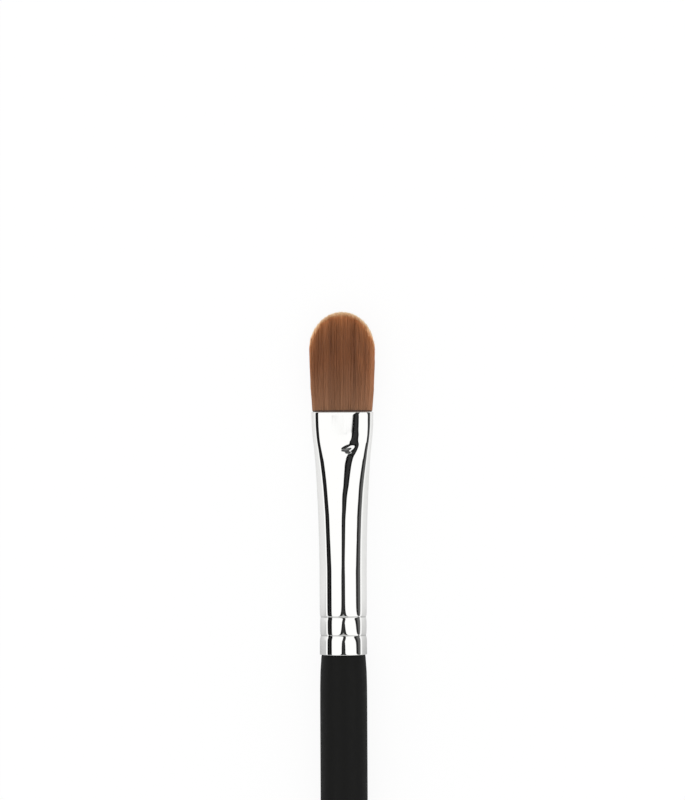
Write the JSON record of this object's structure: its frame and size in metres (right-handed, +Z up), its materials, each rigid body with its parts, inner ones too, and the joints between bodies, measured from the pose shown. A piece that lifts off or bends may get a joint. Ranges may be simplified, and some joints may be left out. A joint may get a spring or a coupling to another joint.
{
  "type": "eye makeup brush",
  "caption": "Slim eye makeup brush: flat round-ended bristle tuft in a bright crimped metal ferrule, on a matt black lacquered wooden handle.",
  "frame": {"origin": "centre of the base of the bounding box: the brush lies on Z = 0, its length and width centred on the origin", "axes": "+X along the brush towards the bristle tips, +Y across the flat of the head, +Z up through its thickness"},
  "size_m": [0.17, 0.0092, 0.0066],
  "materials": {
    "filament": "fine tapered synthetic filaments, brown with paler golden tips",
    "plating": "bright mirror plating",
    "lacquer": "matt black lacquer",
    "wood": "turned birch, bare",
    "epoxy": "cured amber epoxy",
    "glued_root": "filament roots soaked in glue",
    "thread": "waxed thread"
  },
  "bodies": {
    "root": {"bristle_tuft": "filament", "ferrule": "plating", "handle_lacquer": "lacquer", "handle_core": "wood", "tenon_glue": "epoxy", "root_bundle": "glued_root", "root_binding": "thread", "epoxy_plug": "epoxy"}
  },
  "joints": []
}
